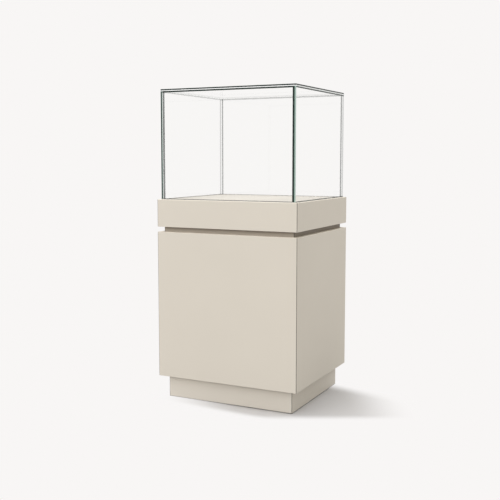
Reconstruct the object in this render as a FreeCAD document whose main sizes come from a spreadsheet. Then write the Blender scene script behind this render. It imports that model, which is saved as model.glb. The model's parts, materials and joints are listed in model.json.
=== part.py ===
# Pedestal display counter: a lift-off glass hood on a boarded deck, a shadow gap,
# a storage cabinet with a locking rear door, and a plinth on levelling feet.
# Millimetres, +Z up. The front faces -Y, and the origin is on the floor under the middle.
import FreeCAD, Part
import math
import os
import re
import Sketcher
from FreeCAD import Placement, Rotation, Vector

driving_sizes = {
    # Overall plan, and the heights that stack up from the floor
    "counter_width": 600,
    "counter_depth": 525,
    "floor_gap": 2,
    "plinth_height": 88,
    "cabinet_height": 582,
    "shadow_gap": 20,
    "deck_height": 108,
    "glass_shown": 430,
    # Boards
    "panel_board": 18,
    "plinth_board": 18,
    "plinth_inset": 30,
    "gap_board": 18,
    "gap_recess": 20,
    "base_board": 18,
    "display_board": 18,
    "display_clearance": 0.5,
    "ledger": 20,
    "arris": 1,
    # Glass hood and its seat in the deck
    "glass": 8,
    "glass_arris": 0.8,
    "rim": 10,
    "glass_clearance": 2,
    "seat_margin": 2,
    "rebate_depth": 8,
    "gasket": 2,
    "gasket_clearance": 0.5,
    "lip_proud": 1.5,
    "lip_clearance": 0.3,
    # Fits
    "fit_clearance": 0.05,
    "running_clearance": 0.05,
    "end_clearance": 0.5,
    # Joinery
    "dowel_diameter": 8,
    "dowel_length": 30,
    "dowel_in_panel": 10,
    "dowel_margin": 75,
    "screw_diameter": 5,
    "screw_bite": 12,
    "block_screw_bite": 30,
    "block_screw_offset": 16,
    "screw_margin": 150,
    # Levelling feet
    "corner_block": 50,
    "block_cap": 8,
    "pad_diameter": 38,
    "pad_rim": 3,
    "pad_neck": 16,
    "pad_height": 9,
    "socket_diameter": 6,
    "socket_floor": 3,
    "stem_diameter": 8,
    "stem_past_insert": 16,
    "stem_headroom": 8,
    "stem_bore_clearance": 0.5,
    "collar_across": 13,
    "collar_height": 6,
    "insert_wall": 2,
    "insert_length": 14,
    "insert_lip": 3,
    "flange_thickness": 1.5,
    # Shelf on pins in bored rows
    "shelf_board": 18,
    "shelf_side_clearance": 1,
    "shelf_front_gap": 4,
    "shelf_setback": 37,
    "pin_diameter": 5,
    "pin_hole_depth": 10,
    "pin_proud": 9,
    "pin_row_base": 152,
    "pin_row_pitch": 32,
    "pin_front_margin": 38,
    "pin_rear_margin": 45,
    # Rear door on two pivots
    "door_board": 18,
    "door_gap": 2,
    "door_setback": 20,
    "pivot_edge": 12,
    "pivot_face": 6,
    "pivot_diameter": 6,
    "pivot_seat": 26,
    "pivot_end_gap": 2,
    "pivot_chamfer": 0.8,
    "bush_wall": 2,
    "bush_lip": 2.5,
    "bush_floor": 4,
    "bush_gap": 0.3,
    "stop_board": 6,
    "stop_width": 16,
    "stop_gap": 0.3,
    "knob_below_lock": 80,
    "knob_diameter": 20,
    "knob_neck": 9,
    "knob_base": 13,
    "knob_recess": 2,
    "knob_head": 8,
    "knob_round": 2.5,
    "knob_spigot": 6,
    "knob_spigot_length": 12,
    # Cam lock
    "lock_below_top": 130,
    "barrel_diameter": 19,
    "lock_lip": 2.5,
    "lock_flange_thickness": 2,
    "plug_diameter": 12,
    "keyway_width": 1.8,
    "keyway_height": 8,
    "keyway_depth": 10,
    "nut_wall": 2.5,
    "nut_thickness": 4,
    "nut_clearance": 4,
    "cam_thickness": 2,
    "cam_width": 16,
    "cam_hold": 10,
    "cam_end_flat": 2,
    "cam_gap": 0.5,
    "tail_square": 7,
    "cam_screw_diameter": 4,
    "cam_screw_length": 9,
    "cam_screw_head": 9,
    "cam_screw_head_height": 2.5,
}
pin_row_room = driving_sizes["cabinet_height"] - 2 * driving_sizes["pin_row_base"]
pin_rows = int(pin_row_room // driving_sizes["pin_row_pitch"]) + 1
shelf_pin_row = pin_rows // 2
all_sides = ("front", "back", "left", "right")
corners = [(end, side) for end in ("front", "back") for side in ("left", "right")]
tolerance = 1e-6

# Heights and places that follow from the sizes; every word in them is a size in the sheet
left_edge = "-counter_width/2"
front_edge = "-counter_depth/2"
plinth_top = "(floor_gap + plinth_height)"
cabinet_top = f"({plinth_top} + cabinet_height)"
gap_top = f"({cabinet_top} + shadow_gap)"
deck_top = f"({gap_top} + deck_height)"
cabinet_floor = f"({plinth_top} + panel_board)"
cabinet_ceiling = f"({cabinet_top} - panel_board)"
hood_inset = "(rim + glass_clearance)"
apron = f"({hood_inset} + glass + seat_margin)"
hood_base = f"({deck_top} - rebate_depth + gasket)"
wall_height = "(glass_shown - glass + rebate_depth - gasket)"
door_width = "(counter_width - 2*panel_board - 2*door_gap)"
door_height = "(cabinet_height - 2*panel_board - 2*door_gap)"
door_left = "(panel_board + door_gap - counter_width/2)"
door_face = "(counter_depth/2 - door_setback)"
door_base = f"({cabinet_floor} + door_gap)"
hinge_x = "(counter_width - panel_board - door_gap - pivot_edge)"
hinge_y = "(counter_depth - door_setback - pivot_face)"
bush_diameter = "(pivot_diameter + 2*bush_wall)"
bush_length = "(panel_board - bush_floor)"
pivot_reach = f"({bush_length} - pivot_end_gap)"
hexagon_corner = 1 / math.sqrt(3)
nut_across = "(barrel_diameter + 2*nut_wall)"
lock_edge = f"(stop_width - door_gap + {hexagon_corner:.9f}*{nut_across} + nut_clearance)"
lock_height = f"({door_height} - lock_below_top)"
knob_height = f"({lock_height} - knob_below_lock)"
knob_projection = "(door_setback - knob_recess)"
barrel_length = "(door_board + stop_gap + stop_board + cam_gap)"
cam_reach = f"({lock_edge} + door_gap - stop_width + cam_hold)"
screw_head = "(2*screw_diameter)"
screw_bore = "(screw_diameter + 2*fit_clearance)"
insert_diameter = "(stem_diameter + 2*insert_wall)"
stem_bore_depth = "(insert_length + stem_past_insert + stem_headroom)"
block_height = f"({stem_bore_depth} + block_cap)"
block_base = f"({plinth_top} - {block_height})"
stem_top = f"({block_base} + insert_length + stem_past_insert)"
shelf_front = "(panel_board + shelf_front_gap)"
shelf_rear = "(counter_depth - door_setback - door_board - shelf_setback)"
shelf_underside = f"({plinth_top} + pin_row_base + {shelf_pin_row}*pin_row_pitch + pin_diameter/2)"
pin_columns = (f"{shelf_front} + pin_front_margin", f"{shelf_rear} - pin_rear_margin")
outward = Rotation(Vector(1, 0, 0), -90)
upside_down = Rotation(Vector(1, 0, 0), 180)

doc = FreeCAD.newDocument("DisplayCounter")
sheet = doc.addObject("Spreadsheet::Sheet", "Sizes")
for row, (alias, size) in enumerate(driving_sizes.items(), start=1):
    sheet.set(f"A{row}", alias)
    sheet.set(f"B{row}", str(size))
    sheet.setAlias(f"B{row}", alias)
doc.recompute()
sub_parts = []


def tied(expression):
    """An expression in which every word is read from the sheet."""
    return re.sub(r"[a-z_]+", lambda word: "Sizes." + word.group(), expression)


def amount(expression):
    """The number that an expression gives now."""
    return float(sheet.evalExpression(tied(expression)))


def place(item, x, y, z):
    """Ties an object's position to the sizes."""
    for axis, expression in zip("xyz", (x, y, z)):
        item.setExpression(f"Placement.Base.{axis}", tied(expression))


def piece(label, x=left_edge, y=front_edge, z="0", rotation=None):
    """An empty body for one sub-part; by default it is drawn in the counter's plan."""
    body = doc.addObject("PartDesign::Body", label)
    body.Label = label
    if rotation:
        body.Placement = Placement(Vector(), rotation)
    place(body, x, y, z)
    sub_parts.append(body)
    return body


def sketch_on(body, name, plane, offset):
    """A sketch on one of the body's own planes, moved along that plane's normal."""
    sketch = body.newObject("Sketcher::SketchObject", name)
    support = next(item for item in body.Origin.OriginFeatures if item.Role == plane)
    sketch.AttachmentSupport = [(support, "")]
    sketch.MapMode = "FlatFace"
    sketch.setExpression("AttachmentOffset.Base.z", tied(offset))
    return sketch


def locate(sketch, geometry, point, x, y):
    """Ties a sketch point to its distances from the sketch's origin."""
    for kind, axis, expression in (("DistanceX", -2, x), ("DistanceY", -1, y)):
        distance = amount(expression)
        if abs(distance) < tolerance:
            sketch.addConstraint(Sketcher.Constraint("PointOnObject", geometry, point, axis))
        elif distance > 0:
            index = sketch.addConstraint(Sketcher.Constraint(kind, -1, 1, geometry, point, distance))
            sketch.setExpression(f"Constraints[{index}]", tied(expression))
        else:
            index = sketch.addConstraint(Sketcher.Constraint(kind, geometry, point, -1, 1, -distance))
            sketch.setExpression(f"Constraints[{index}]", tied(f"-({expression})"))


def draw_outline(sketch, points):
    """A closed outline through points given as expressions."""
    first = sketch.GeometryCount
    ends = [Vector(amount(x), amount(y), 0) for x, y in points]
    for start, end in zip(ends, ends[1:] + ends[:1]):
        sketch.addGeometry(Part.LineSegment(start, end), False)
    for index in range(len(points)):
        following = first + (index + 1) % len(points)
        sketch.addConstraint(Sketcher.Constraint("Coincident", first + index, 2, following, 1))
    for index, (x, y) in enumerate(points):
        locate(sketch, first + index, 1, x, y)


def draw_circles(sketch, centres, diameter):
    """Circles of one diameter, at centres given as expressions."""
    for x, y in centres:
        centre = Vector(amount(x), amount(y), 0)
        circle = sketch.addGeometry(Part.Circle(centre, Vector(0, 0, 1), amount(diameter) / 2), False)
        locate(sketch, circle, 3, x, y)
        index = sketch.addConstraint(Sketcher.Constraint("Diameter", circle, amount(diameter)))
        sketch.setExpression(f"Constraints[{index}]", tied(diameter))


def pad(body, sketch, length, reverse=False):
    """Raises a sketch by a length along its normal."""
    feature = body.newObject("PartDesign::Pad", "Pad")
    feature.Profile = sketch
    feature.setExpression("Length", tied(length))
    feature.Reversed = reverse
    doc.recompute()
    return feature


def cut(body, sketch, depth, along_normal=False):
    """Cuts a sketch into the body, against its normal unless told otherwise."""
    before = body.Shape.Volume
    feature = body.newObject("PartDesign::Pocket", "Pocket")
    feature.Profile = sketch
    feature.setExpression("Length", tied(depth))
    feature.Reversed = along_normal
    doc.recompute()
    if body.Shape.Volume >= before:
        raise RuntimeError(f"{body.Label}: a cut removes nothing")
    return feature


def bore(body, plane, offset, centres, diameter, depth, along_normal=False):
    """Round holes of one size, cut from a plane of the body."""
    sketch = sketch_on(body, "Bores", plane, offset)
    draw_circles(sketch, centres, diameter)
    return cut(body, sketch, depth, along_normal)


def countersunk_holes(body, offset, centres, depth, along_normal=False):
    """Screw holes with a countersink, drilled from a level of the body."""
    sketch = sketch_on(body, "ScrewHoles", "XY_Plane", offset)
    draw_circles(sketch, centres, "screw_diameter")
    doc.recompute()
    before = body.Shape.Volume
    hole = body.newObject("PartDesign::Hole", "Hole")
    hole.Profile = sketch
    hole.Reversed = along_normal
    hole.DepthType = "Dimension"
    hole.setExpression("Diameter", tied(screw_bore))
    hole.setExpression("Depth", tied(depth))
    hole.HoleCutType = "Countersink"
    hole.HoleCutCustomValues = True
    hole.setExpression("HoleCutDiameter", tied(f"{screw_head} + 2*fit_clearance"))
    hole.HoleCutCountersinkAngle = 90
    doc.recompute()
    if body.Shape.Volume >= before:
        raise RuntimeError(f"{body.Label}: the screw holes remove nothing")


def turned(body, profile):
    """A turned piece: a half profile of (radius, height) revolved about the body's Z axis."""
    sketch = sketch_on(body, "Profile", "XZ_Plane", "0")
    draw_outline(sketch, profile)
    feature = body.newObject("PartDesign::Revolution", "Revolution")
    feature.Profile = sketch
    feature.ReferenceAxis = (sketch, ["V_Axis"])
    feature.Angle = 360
    doc.recompute()
    return feature


def dress_edges(body, kind, size_name, size, wanted=None):
    """Chamfers or fillets the edges that pass a test, or every edge when there is none."""
    base = body.Tip
    names = [""]
    if wanted:
        names = [f"Edge{i}" for i, edge in enumerate(base.Shape.Edges, start=1) if wanted(edge)]
    feature = body.newObject(kind, "EdgeDress")
    feature.Base = (base, names)
    feature.UseAllEdges = wanted is None
    feature.setExpression(size_name, tied(size))
    doc.recompute()
    return feature


def hexagon(across):
    """Corners of a hexagon, from its size across the flats."""
    angles = [math.radians(60 * step) for step in range(6)]
    shares = [(hexagon_corner * math.cos(angle), hexagon_corner * math.sin(angle)) for angle in angles]
    return [(f"{across}*{x:.9f}", f"{across}*{y:.9f}") for x, y in shares]


def rectangle(width, height):
    """Corners of a rectangle about the sketch's origin."""
    return [(f"-({width})/2", f"-({height})/2"), (f"({width})/2", f"-({height})/2"),
            (f"({width})/2", f"({height})/2"), (f"-({width})/2", f"({height})/2")]


def flat_board(label, x_range, y_range, level, thickness):
    """A rectangular board lying or standing in the plan."""
    (x0, x1), (y0, y1) = x_range, y_range
    body = piece(label, z=level)
    sketch = sketch_on(body, "Plan", "XY_Plane", "0")
    draw_outline(sketch, [(x0, y0), (x1, y0), (x1, y1), (x0, y1)])
    pad(body, sketch, thickness)
    return body


def side_point(side, inset, along, across):
    """Plan point a distance along one side of the counter and in across its thickness."""
    if side == "front":
        return f"{inset} + {along}", f"{inset} + {across}"
    if side == "back":
        return f"{inset} + {along}", f"counter_depth - {inset} - ({across})"
    if side == "left":
        return f"{inset} + {across}", f"{inset} + {along}"
    return f"counter_width - {inset} - ({across})", f"{inset} + {along}"


def side_length(side, inset):
    """Outside length of one side of a frame that is set in from the counter's plan."""
    overall = "counter_width" if side in ("front", "back") else "counter_depth"
    return f"({overall} - 2*{inset})"


def mitred_board(label, side, inset, thickness, level, height, square_back=False):
    """An upright board with mitred ends, whose outer corners are eased by the arris."""
    length = side_length(side, inset)
    far_end = [(f"{length} - arris", "0"), (f"{length} - arris/2", "arris/2"),
               (f"{length} - {thickness}", thickness)]
    if square_back:
        far_end = [(f"{length} - arris", "0"), (length, "arris"), (length, thickness)]
    plan = [("arris", "0")] + far_end + [(thickness, thickness), ("arris/2", "arris/2")]
    body = piece(label, z=level)
    sketch = sketch_on(body, "Plan", "XY_Plane", "0")
    draw_outline(sketch, [side_point(side, inset, along, across) for along, across in plan])
    pad(body, sketch, height)
    return body


def ease_outside(body, side, inset):
    """Eases the top and bottom edges round the outer face of an upright board."""
    reach = amount("arris")
    edge_of_plan = amount(inset)
    far = {"back": amount(f"counter_depth - {inset}"), "right": amount(f"counter_width - {inset}")}

    def outside(edge):
        middle = edge.CenterOfMass
        level = abs(edge.Vertexes[0].Z - edge.Vertexes[-1].Z) < tolerance
        place_across = middle.y if side in ("front", "back") else middle.x
        across = far[side] - place_across if side in far else place_across - edge_of_plan
        return level and across < reach

    dress_edges(body, "PartDesign::Chamfer", "Size", "arris", outside)


def ease_face(body, axis, level):
    """Eases the edges round one face of a board, found by its level along an axis."""
    height = amount(level)

    def on_face(edge):
        return all(abs(getattr(corner, axis) - height) < tolerance for corner in edge.Vertexes)

    dress_edges(body, "PartDesign::Chamfer", "Size", "arris", on_face)


def mirrored(side, distance, overall):
    """A plan distance measured in from the left or front, or from the far side."""
    return distance if side in ("left", "front") else f"{overall} - ({distance})"


def span(side, start, width, overall):
    """The two ends of a plan stretch that starts in from one side."""
    ends = [mirrored(side, start, overall), mirrored(side, f"{start} + {width}", overall)]
    return ends if side in ("left", "front") else ends[::-1]


def cylinder(radius, height, x, y, z, rotation=None):
    """A plain round pin of a fastener group."""
    pin = doc.addObject("Part::Cylinder", "Pin")
    pin.setExpression("Radius", tied(radius))
    pin.setExpression("Height", tied(height))
    if rotation:
        pin.Placement = Placement(Vector(), rotation)
    place(pin, x, y, z)
    return pin


def joined(first, second, kind="Part::Fuse"):
    """Two solids made one, or the second cut from the first."""
    result = doc.addObject(kind, "Joined")
    result.Base = first
    result.Tool = second
    return result


def group(label, members):
    """Identical small pieces that share one node, each still its own solid."""
    compound = doc.addObject("Part::Compound", label)
    compound.Label = label
    compound.Links = members
    sub_parts.append(compound)


def wood_screw(point, head_level, length, pointing_up=False):
    """A countersunk screw at a plan point, with its head flush at a level."""
    x = f"{point[0]} - counter_width/2"
    y = f"{point[1]} - counter_depth/2"
    head_height = f"({screw_head} - screw_diameter)/2"
    head = doc.addObject("Part::Cone", "Head")
    head.setExpression("Radius1", tied("screw_diameter/2"))
    head.setExpression("Radius2", tied(f"{screw_head}/2"))
    head.setExpression("Height", tied(head_height))
    neck_level = f"{head_level} - {head_height}"
    shank_base = f"{head_level} - {length}"
    if pointing_up:
        head.Placement = Placement(Vector(), upside_down)
        neck_level = f"{head_level} + {head_height}"
        shank_base = neck_level
    place(head, x, y, neck_level)
    shank = cylinder("screw_diameter/2", f"{length} - {head_height}", x, y, shank_base)
    return joined(head, shank)


def make_plinth():
    """Recessed plinth boards, with a block in each corner for a levelling foot."""
    for side in all_sides:
        mitred_board(f"plinth_{side}", side, "plinth_inset", "plinth_board", "floor_gap", "plinth_height")
    inner = "plinth_inset + plinth_board"
    inserts = []
    for end, side in corners:
        x_range = span(side, inner, "corner_block", "counter_width")
        y_range = span(end, inner, "corner_block", "counter_depth")
        axis = foot_axis(end, side)
        block = flat_board(f"plinth_block_{end}_{side}", x_range, y_range, block_base, block_height)
        stem_bore = "stem_diameter + 2*stem_bore_clearance"
        bore(block, "XY_Plane", "0", [axis], stem_bore, stem_bore_depth, along_normal=True)
        sleeve_bore = f"{insert_diameter} + 2*fit_clearance"
        bore(block, "XY_Plane", "0", [axis], sleeve_bore, "insert_length", along_normal=True)
        screw_depth = "block_screw_bite + end_clearance"
        bore(block, "XY_Plane", block_height, [block_screw(end, side)], screw_bore, screw_depth)
        inserts.append(threaded_insert(axis))
    group("leveller_inserts", inserts)


def foot_axis(end, side):
    """Plan point of a levelling foot, in the middle of its corner block."""
    middle = "plinth_inset + plinth_board + corner_block/2"
    return mirrored(side, middle, "counter_width"), mirrored(end, middle, "counter_depth")


def block_screw(end, side):
    """Plan point of the screw that ties the cabinet to a corner block, beside the foot."""
    across = "plinth_inset + plinth_board + corner_block/2 + block_screw_offset"
    return mirrored(side, across, "counter_width"), foot_axis(end, side)[1]


def threaded_insert(axis):
    """Flanged sleeve in a corner block, that a levelling foot screws into."""
    x = f"{axis[0]} - counter_width/2"
    y = f"{axis[1]} - counter_depth/2"
    flange_base = f"{block_base} - flange_thickness"
    flange = cylinder(f"{insert_diameter}/2 + insert_lip", "flange_thickness", x, y, flange_base)
    sleeve = cylinder(f"{insert_diameter}/2", "insert_length", x, y, block_base)
    bore_radius = "stem_diameter/2 + running_clearance"
    hollow = cylinder(bore_radius, "insert_length + flange_thickness", x, y, flange_base)
    return joined(joined(flange, sleeve), hollow, "Part::Cut")


def make_feet():
    """Levelling feet: a swivel pad on the floor and a threaded stem that turns in it."""
    socket_radius = "(socket_diameter/2 + running_clearance)"
    pad_profile = [
        ("0", "0"), ("pad_diameter/2", "0"), ("pad_diameter/2", "pad_rim"), ("pad_neck/2", "pad_height"),
        (socket_radius, "pad_height"), (socket_radius, "socket_floor"), ("0", "socket_floor"),
    ]
    stem_foot = "socket_floor + end_clearance"
    stem_profile = [
        ("0", stem_foot), ("socket_diameter/2", stem_foot), ("socket_diameter/2", "pad_height"),
        ("stem_diameter/2", "pad_height"), ("stem_diameter/2", f"{stem_top} - arris"),
        ("stem_diameter/2 - arris", stem_top), ("0", stem_top),
    ]
    for end, side in corners:
        axis_x, axis_y = foot_axis(end, side)
        at = (f"{axis_x} - counter_width/2", f"{axis_y} - counter_depth/2")
        turned(piece(f"leveller_pad_{end}_{side}", *at), pad_profile)
        stem = piece(f"leveller_stem_{end}_{side}", *at)
        turned(stem, stem_profile)
        flats = sketch_on(stem, "Flats", "XY_Plane", "pad_height")
        draw_outline(flats, hexagon("collar_across"))
        pad(stem, flats, "collar_height")


def make_cabinet():
    """Carcass boards: mitred front corners, and a floor and ceiling let in between the sides."""
    front = mitred_board("front_panel", "front", "0", "panel_board", plinth_top, "cabinet_height")
    sides = {
        side: mitred_board(f"{side}_side", side, "0", "panel_board", plinth_top, "cabinet_height",
                           square_back=True)
        for side in ("left", "right")
    }
    inside_x = ("panel_board", "counter_width - panel_board")
    inside_y = ("panel_board", "counter_depth")
    ease_outside(front, "front", "0")
    for side, board in sides.items():
        ease_outside(board, side, "0")
    bottom = flat_board("bottom_panel", inside_x, inside_y, plinth_top, "panel_board")
    top = flat_board("top_panel", inside_x, inside_y, cabinet_ceiling, "panel_board")
    bush_bore = f"{bush_diameter} + 2*fit_clearance"
    bore(bottom, "XY_Plane", "panel_board", [(hinge_x, hinge_y)], bush_bore, bush_length)
    bore(top, "XY_Plane", "0", [(hinge_x, hinge_y)], bush_bore, bush_length, along_normal=True)
    bottom_screws = [block_screw(end, side) for end, side in corners]
    countersunk_holes(bottom, "panel_board", bottom_screws, "panel_board")
    top_screws = deck_screw_points("left") + deck_screw_points("right")
    countersunk_holes(top, "0", top_screws, "panel_board", along_normal=True)
    for side, board in sides.items():
        bore_shelf_rows(board, side)
    dowel_carcass(front, sides, bottom, top)
    length = "(panel_board + block_screw_bite)"
    group("plinth_screws", [wood_screw(point, cabinet_floor, length) for point in bottom_screws])


def bore_shelf_rows(board, side):
    """Two rows of shelf pin holes up the inside of a side panel."""
    inner_face = mirrored(side, "panel_board", "counter_width")
    sketch = sketch_on(board, "PinHoles", "YZ_Plane", inner_face)
    draw_circles(sketch, [(y, "pin_row_base") for y in pin_columns], "pin_diameter + 2*fit_clearance")
    first = cut(board, sketch, "pin_hole_depth", along_normal=side == "right")
    rows = board.newObject("PartDesign::LinearPattern", "PinRows")
    rows.Originals = [first]
    rows.Direction = (sketch, ["V_Axis"])
    rows.setExpression("Length", tied(f"{pin_rows - 1}*pin_row_pitch"))
    rows.Occurrences = pin_rows
    board.Tip = rows
    doc.recompute()


def dowel_carcass(front, sides, bottom, top):
    """Glued dowels that join the floor and ceiling to the front and the sides."""
    along_depth = ("dowel_margin", "counter_depth/2", "counter_depth - dowel_margin")
    along_width = ("dowel_margin", "counter_width/2", "counter_width - dowel_margin")
    hole = "dowel_diameter + 2*fit_clearance"
    panel_depth = "dowel_in_panel + end_clearance"
    edge_depth = "dowel_length - dowel_in_panel + end_clearance"
    levels = ("panel_board/2", "cabinet_height - panel_board/2")
    lying_x = Rotation(Vector(0, 1, 0), 90)
    lying_y = Rotation(Vector(1, 0, 0), -90)
    dowels = []
    for side, board in sides.items():
        face = mirrored(side, "panel_board", "counter_width")
        toward_right = side == "right"
        side_holes = [(y, z) for y in along_depth for z in levels]
        edge_holes = [(y, "panel_board/2") for y in along_depth]
        bore(board, "YZ_Plane", face, side_holes, hole, panel_depth, toward_right)
        for panel in (bottom, top):
            bore(panel, "YZ_Plane", face, edge_holes, hole, edge_depth, not toward_right)
        start = mirrored(side, "panel_board - dowel_in_panel", "counter_width")
        start = start if side == "left" else f"{start} - dowel_length"
        dowels += [cylinder("dowel_diameter/2", "dowel_length", f"{start} - counter_width/2",
                            f"{y} - counter_depth/2", f"{plinth_top} + {z}", lying_x)
                   for y in along_depth for z in levels]
    front_holes = [(x, z) for x in along_width for z in levels]
    edge_holes = [(x, "panel_board/2") for x in along_width]
    bore(front, "XZ_Plane", "-panel_board", front_holes, hole, panel_depth, True)
    for panel in (bottom, top):
        bore(panel, "XZ_Plane", "-panel_board", edge_holes, hole, edge_depth)
    dowels += [cylinder("dowel_diameter/2", "dowel_length", f"{x} - counter_width/2",
                        "panel_board - dowel_in_panel - counter_depth/2", f"{plinth_top} + {z}", lying_y)
               for x in along_width for z in levels]
    group("carcass_dowels", dowels)


def make_shelf():
    """Loose shelf on four pins, short of the door so that the lock and the door swing clear."""
    side_gap = "panel_board + shelf_side_clearance"
    x_range = (side_gap, f"counter_width - ({side_gap})")
    flat_board("shelf", x_range, (shelf_front, shelf_rear), shelf_underside, "shelf_board")
    level = f"{plinth_top} + pin_row_base + {shelf_pin_row}*pin_row_pitch"
    pins = []
    for side in ("left", "right"):
        toward_middle = Rotation(Vector(0, 1, 0), 90 if side == "left" else -90)
        sign = "-" if side == "left" else "+"
        face = mirrored(side, "panel_board", "counter_width")
        for y in pin_columns:
            at = (f"{y} - counter_depth/2", level)
            shank = cylinder("pin_diameter/2", "pin_hole_depth + pin_proud",
                             f"{face} {sign} pin_hole_depth - counter_width/2", *at, toward_middle)
            pins.append(shank)
    group("shelf_pins", pins)


def deck_screw_points(side):
    """Plan points of the screws that tie the cabinet, a gap board and the deck together."""
    middle = mirrored(side, "gap_recess + gap_board/2", "counter_width")
    return [(middle, "screw_margin"), (middle, "counter_depth - screw_margin")]


def make_shadow_gap():
    """Recessed boards that hold the deck up off the cabinet."""
    for side in all_sides:
        board = mitred_board(f"gap_{side}", side, "gap_recess", "gap_board", cabinet_top, "shadow_gap")
        if side in ("left", "right"):
            points = deck_screw_points(side)
            bore(board, "XY_Plane", "0", points, screw_bore, "shadow_gap", along_normal=True)


def make_deck():
    """Mitred aprons rebated for the glass, a base board, ledgers and the display board."""
    for side in all_sides:
        board = mitred_board(f"deck_apron_{side}", side, "0", apron, gap_top, "deck_height")
        ease_outside(board, side, "0")
        length = side_length(side, "0")
        rebate = [("rim", "rim"), (f"{length} - rim", "rim"), (f"{length} - {apron}", apron), (apron, apron)]
        sketch = sketch_on(board, "Rebate", "XY_Plane", "deck_height")
        draw_outline(sketch, [side_point(side, "0", along, across) for along, across in rebate])
        cut(board, sketch, "rebate_depth")
    inside_x = (apron, f"counter_width - {apron}")
    inside_y = (apron, f"counter_depth - {apron}")
    base = flat_board("deck_base", inside_x, inside_y, gap_top, "base_board")
    screw_points = deck_screw_points("left") + deck_screw_points("right")
    bore(base, "XY_Plane", "0", screw_points, screw_bore, "screw_bite + end_clearance", along_normal=True)
    ledger_level = f"({deck_top} - display_board - ledger)"
    for end in ("front", "back"):
        y_range = span(end, apron, "ledger", "counter_depth")
        flat_board(f"deck_ledger_{end}", inside_x, y_range, ledger_level, "ledger")
    for side in ("left", "right"):
        x_range = span(side, apron, "ledger", "counter_width")
        y_range = (f"{apron} + ledger", f"counter_depth - {apron} - ledger")
        flat_board(f"deck_ledger_{side}", x_range, y_range, ledger_level, "ledger")
    edge = f"({apron} + display_clearance)"
    x_range = (edge, f"counter_width - {edge}")
    y_range = (edge, f"counter_depth - {edge}")
    display = flat_board("display_board", x_range, y_range, f"{deck_top} - display_board", "display_board")
    ease_face(display, "Z", "display_board")
    length = "(panel_board + shadow_gap + screw_bite)"
    group("deck_screws", [wood_screw(point, cabinet_ceiling, length, True) for point in screw_points])


def make_gasket():
    """Soft strip on which the hood stands, with a lip that covers the joint round the glass."""
    body = piece("hood_gasket", z=f"{deck_top} - rebate_depth")
    outer = "rim + gasket_clearance"
    rings = (
        ("Strip", "0", f"{apron} - gasket_clearance", "gasket"),
        ("Lip", "gasket", f"{hood_inset} - lip_clearance", "rebate_depth - gasket + lip_proud"),
    )
    for name, level, inner, height in rings:
        sketch = sketch_on(body, name, "XY_Plane", level)
        for edge in (outer, inner):
            far_x = f"counter_width - ({edge})"
            far_y = f"counter_depth - ({edge})"
            draw_outline(sketch, [(edge, edge), (far_x, edge), (far_x, far_y), (edge, far_y)])
        pad(body, sketch, height)


def glass_pane(label, x_range, y_range, level, height):
    """A pane with ground and polished edges."""
    pane = flat_board(label, x_range, y_range, level, height)
    dress_edges(pane, "PartDesign::Chamfer", "Size", "glass_arris")


def make_hood():
    """Five panes bonded edge to face: full sides, front and back between them, top over all."""
    inner = f"{hood_inset} + glass"
    whole_x = (hood_inset, f"counter_width - {hood_inset}")
    whole_y = (hood_inset, f"counter_depth - {hood_inset}")
    between_x = (inner, f"counter_width - ({inner})")
    for side in ("left", "right"):
        x_range = span(side, hood_inset, "glass", "counter_width")
        glass_pane(f"glass_{side}", x_range, whole_y, hood_base, wall_height)
    for end in ("front", "back"):
        y_range = span(end, hood_inset, "glass", "counter_depth")
        glass_pane(f"glass_{end}", between_x, y_range, hood_base, wall_height)
    glass_pane("glass_top", whole_x, whole_y, f"{hood_base} + {wall_height}", "glass")


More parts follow.
